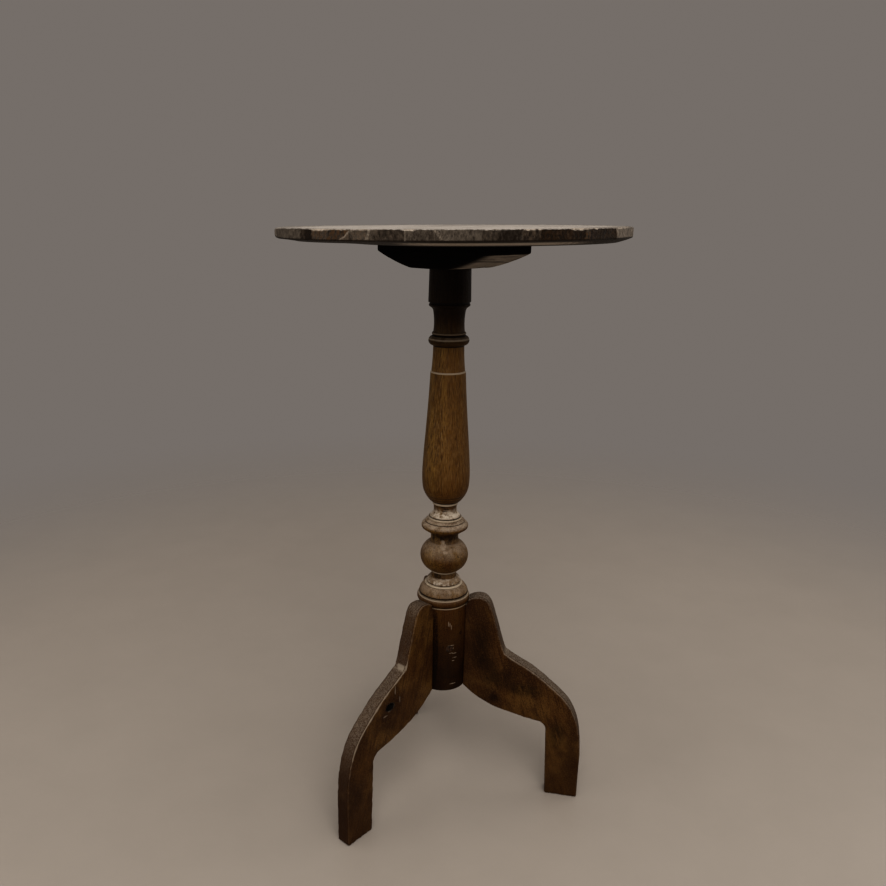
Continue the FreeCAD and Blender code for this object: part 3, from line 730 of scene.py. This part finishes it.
def rim_points(azimuth, start, end):
    """A section's points up the rim, from its rounded foot to its worn upper edge."""
    points = []
    for row in range(rim_rows):
        up = row / (rim_rows - 1)
        level = start + (end - start) * up
        wander = flat_wander * noise.noise(Vector((azimuth * 0.35, level * 260, 9.0)))
        radius, tone, rust = flat_at(azimuth + wander, up)
        tooled = noise.noise(Vector((azimuth * 0.5, level * 110, 0.0)))
        tooled += 0.5 * noise.noise(Vector((azimuth * 1.3, level * 260, 5.0)))
        edge = min(rim_limit, radius - unevenness + unevenness * tooled)
        points.append((edge, level, tone, rust, 0.0))
    return points


def top_points(spot, edge, tone, rust, bare, worn_down):
    """A section's points over the upper edge and inwards across the top."""
    wide = edge_round + worn_down * 0.9
    points = []
    for bend in edge_bends:
        a = math.radians(bend)
        radius = edge - wide * (1 - math.cos(a))
        points.append((radius, top_level - edge_sink - worn_down * (1 - math.sin(a)), tone, rust, bare))
    for inward in inward_steps:
        radius = edge - wide - inward
        wave = top_wave * (1 + noise.noise(spot * radius * 40)) * share(inward, 0.0, 0.012)
        points.append((radius, top_level - top_sink - wave, 0.0, 0.0, bare * share(inward, 0.008, 0.001)))
    return points


def top_section(azimuth):
    """The top's section at an azimuth, from the middle underneath, round the rim, to the middle on top.

    Each point has a radius and a level, and how pale (tone), rusty (rust) and bare (bare) the wood is.
    """
    turn = math.radians(azimuth)
    spot = Vector((math.cos(turn), math.sin(turn), 0))
    from_end = abs((azimuth - round_ends + 90) % 180 - 90)
    end_wear = end_round * share(from_end, round_end_start, round_end_full)
    foot = rim_foot + unevenness * noise.noise(spot * 30)
    turned_in = foot_round + end_wear
    chip = chip_at(azimuth, spot)
    under = under_points(azimuth, spot, foot, turned_in)
    rim = rim_points(azimuth, foot + turned_in, top_level - chip - end_wear)
    edge, _, tone, rust, _ = rim[-1]
    bare = share(chip, 0.0009, 0.0020)
    return under + rim + top_points(spot, edge, tone, rust, bare, chip + end_wear)


def top_disc():
    """The whole round top, before it is parted into boards."""
    corners, looks, faces = [], [], []
    for step in range(rim_steps):
        azimuth = 360 * step / rim_steps - 180
        turn = math.radians(azimuth)
        for radius, level, *look in top_section(azimuth):
            corners.append((radius * math.cos(turn), radius * math.sin(turn), level))
            looks.append(look)
    rows = len(corners) // rim_steps
    for step in range(rim_steps):
        here, there = step * rows, (step + 1) % rim_steps * rows
        faces += [(here + i, there + i, there + i + 1, here + i + 1) for i in range(rows - 1)]
    for row, level in ((0, underside), (rows - 1, top_level - top_hollow)):
        middle = len(corners)
        corners.append((0, 0, level))
        looks.append((0.0, 0.0, 0.0))
        for step in range(rim_steps):
            here, there = step * rows + row, (step + 1) % rim_steps * rows + row
            faces.append((middle, there, here) if row == 0 else (middle, here, there))
    mesh = bpy.data.meshes.new("top_disc")
    mesh.from_pydata(corners, [], faces)
    for name, values in zip(("tone", "rust", "bare"), zip(*looks)):
        mesh.attributes.new(name, "FLOAT", "POINT").data.foreach_set("value", values)
    return mesh


def sawn_board(name, whole, near, far):
    """One board of the top, between two distances along the batten."""
    wood = bmesh.new()
    wood.from_mesh(whole)
    for joint, sense in ((near, -1), (far, 1)):
        if joint is not None:
            cut = bmesh.ops.bisect_plane(wood, geom=wood.verts[:] + wood.edges[:] + wood.faces[:],
                                         dist=0.000001, plane_co=batten_line * joint,
                                         plane_no=batten_line * sense, clear_outer=True)
            edges = [part for part in cut["geom_cut"] if isinstance(part, bmesh.types.BMEdge)]
            bmesh.ops.edgeloop_fill(wood, edges=edges)
    bmesh.ops.recalc_face_normals(wood, faces=wood.faces)
    shape = bpy.data.meshes.new(name + "_hewn")
    wood.to_mesh(shape)
    wood.free()
    shape.shade_smooth()
    shape.set_sharp_from_angle(angle=math.radians(28))
    return shape


def board_finish(name):
    wood = Finish(name + "_board_wood")
    a = math.radians(batten_turn)
    width, height = wood.along(tuple(batten_line)), wood.along((0, 0, 1))
    laid = wood.join(wood.along((math.cos(a), math.sin(a), 0)), width, height)
    tone, rust, bare = (wood.mark(look) for look in ("tone", "rust", "bare"))
    streaks = wood.noise(240.0, (0.04, 1.0, 1.0), laid, detail=4.0, rough=0.65)
    clouds = wood.noise(20.0, (0.35, 1.0, 1.0), laid, detail=4.0, rough=0.6)
    mottle = wood.noise(330.0, (1.0, 1.0, 0.6), detail=4.0, rough=0.7)
    cuts = wood.noise(300.0, (1.0, 1.0, 0.45), detail=3.0, rough=0.6)
    up = wood.along((0, 0, 1), wood.facing)
    flatness = wood.maths("ABSOLUTE", up)
    rim = wood.step(flatness, 0.85, 0.55)
    front, rear = wood.gap(width, front_joint), wood.gap(width, rear_joint)
    colour = wood.mix(wood.step(streaks, 0.38, 0.66), board_dark, board_brown)
    colour = wood.coat(colour, board_grey, 0.70, clouds, 0.35, 0.70)
    # Round the rim each flat has its own tone, dark at its foot, with tool marks and a pale joint
    worn = wood.total(0.22, wood.product(mottle, 0.56), wood.product(tone, 0.20))
    side = wood.mix(wood.step(worn, 0.32, 0.68), board_dark, board_grey)
    side = wood.coat(side, board_bare_and_lit, 0.90, worn, 0.62, 0.80)
    side = wood.coat(side, board_rust, rust, mottle, 0.42, 0.58)
    side = wood.coat(side, board_dark, 0.55, cuts, 0.54, 0.68)
    side = wood.coat(side, board_dark, 0.90, height, rim_foot + 0.0018, rim_foot + 0.0008)
    joint = wood.product(wood.step(front, 0.0005, 0.0001), wood.step(mottle, 0.40, 0.55), 0.45)
    side = wood.mix(joint, side, board_bare_and_lit)
    colour = wood.mix(rim, colour, side)
    # Underneath, the bevel is darker along both edges, with a paler strip between them painted as light
    # from the floor
    looks_down = wood.step(up, -0.80, -0.93)
    bevel = wood.product(looks_down, wood.step(height, underside, underside + 0.0002), 0.85)
    colour = wood.mix(bevel, colour, board_dark)
    painted_floor_light = wood.step(wood.total(wood.product(tone, 0.5), wood.product(mottle, 0.8)), 0.25, 0.85)
    strip = wood.band(height, underside + 0.0004, underside + 0.0014, rim_foot - 0.0016, rim_foot - 0.0006)
    colour = wood.mix(wood.product(painted_floor_light, looks_down, strip), colour, board_bare_and_lit)
    # On top, dust lies thinner towards the rim and is rubbed away in streaks
    lies = wood.step(up, 0.35, 0.8)
    from_middle = wood.away((0, 0, 0), wood.join(wood.along((1, 0, 0)), wood.along((0, 1, 0)), 0.0))
    at_rim = wood.product(wood.step(from_middle, 0.155, 0.187), wood.step(mottle, 0.70, 0.36), 0.75)
    rubbed = wood.total(at_rim, wood.product(wood.step(streaks, 0.44, 0.60), 0.22))
    dust = wood.product(lies, wood.step(clouds, -0.40, 0.40), wood.maths("SUBTRACT", 0.95, rubbed))
    colour = wood.mix(dust, colour, top_dust)
    stain = wood.step(wood.total(wood.product(streaks, 0.6), clouds), 0.66, 1.10)
    colour = wood.mix(wood.product(lies, stain, 0.55), colour, board_brown)
    seam = wood.product(wood.step(wood.maths("MINIMUM", front, rear), 0.0006, 0.0002),
                        wood.step(flatness, 0.85, 0.95), 0.80)
    colour = wood.mix(seam, colour, board_dark)
    colour = wood.coat(colour, board_bare_and_lit, bare, mottle, 0.34, 0.54)
    normal = wood.relief(mottle, 0.0007, wood.relief(wood.product(cuts, rim), 0.0010))
    return wood.done(colour, wood.total(0.55, wood.product(dust, 0.25)), normal, 0.25)


whole_top = top_disc()
board_widths = (
    ("top_board_front", None, front_joint),
    ("top_board_middle", front_joint, rear_joint),
    ("top_board_rear", rear_joint, None),
)
for name, near, far in board_widths:
    shape = sawn_board(name, whole_top, near, far)
    shape.materials.append(board_finish(name))
    board = bpy.data.objects.new(name + "_hewn", shape)
    bpy.context.scene.collection.objects.link(board)
    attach(board, "root")
    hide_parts(name)

# Floor. Plain, pale and a little polished; it fades out into the plain background.
floor_pale = (0.46, 0.415, 0.37)
floor_shade = tuple(c * 0.8 for c in floor_pale)
floor_reach, floor_drop = 4.0, 0.0005
fade_start, fade_end = 0.75, 1.9
floor_corners = [(across * floor_reach, back * floor_reach, -floor_drop)
                 for across, back in ((-1, -1), (1, -1), (1, 1), (-1, 1))]

floor_mesh = bpy.data.meshes.new("floor")
floor_mesh.from_pydata(floor_corners, [], [(0, 1, 2, 3)])
floor = bpy.data.objects.new("floor", floor_mesh)
bpy.context.scene.collection.objects.link(floor)
ground = Finish("pale_floor")
speckle = ground.noise(9.0, detail=5.0, rough=0.6)
ground_colour = ground.mix(ground.product(speckle, 0.5), floor_pale, floor_shade)
ground.done(ground_colour, 0.38, ground.relief(speckle, 0.001), 0.5)
clear = ground.nodes.new("ShaderNodeBsdfTransparent")
blend = ground.nodes.new("ShaderNodeMixShader")
ground.put(blend.inputs[0], ground.step(ground.away((0, 0, 0)), fade_start, fade_end))
ground.put(blend.inputs[1], ground.shader.outputs[0])
ground.put(blend.inputs[2], clear.outputs[0])
ground.put(ground.nodes["Material Output"].inputs["Surface"], blend.outputs[0])
floor_mesh.materials.append(ground.material)

# Light. A wide soft box overhead, one over the foreground, one high in front and weak ones
# to the sides, in a plain surround. Each has its place, what it is aimed at, its width and power.
on_table, on_foreground = (0, 0, 0.35), (-0.3, -0.9, 0)
lamps = (
    ("overhead", (0.0, -0.5, 2.5), on_table, 2.4, 22.0),
    ("foreground", (-0.4, -1.6, 1.6), on_foreground, 1.4, 13.0),
    ("front_high", (-0.5, -2.2, 1.9), on_table, 1.8, 4.0),
    ("right_low", (2.3, 0.1, 1.1), on_table, 1.4, 4.6),
    ("left_low", (-2.3, -0.2, 1.1), on_table, 1.6, 5.2),
)
lamp_tint = (1.0, 0.965, 0.92)
backdrop = (0.178, 0.161, 0.149)

for name, place, aim, width, power in lamps:
    lamp = bpy.data.lights.new(name, "AREA")
    lamp.size, lamp.energy, lamp.color = width, power, lamp_tint
    holder = bpy.data.objects.new(name, lamp)
    holder.location = place
    holder.rotation_euler = (Vector(aim) - holder.location).to_track_quat("-Z", "Y").to_euler()
    holder.visible_camera = False
    bpy.context.scene.collection.objects.link(holder)
surround = bpy.data.worlds.new("surround")
surround.use_nodes = True
surround.node_tree.nodes["Background"].inputs["Color"].default_value = (*backdrop, 1.0)
bpy.context.scene.world = surround
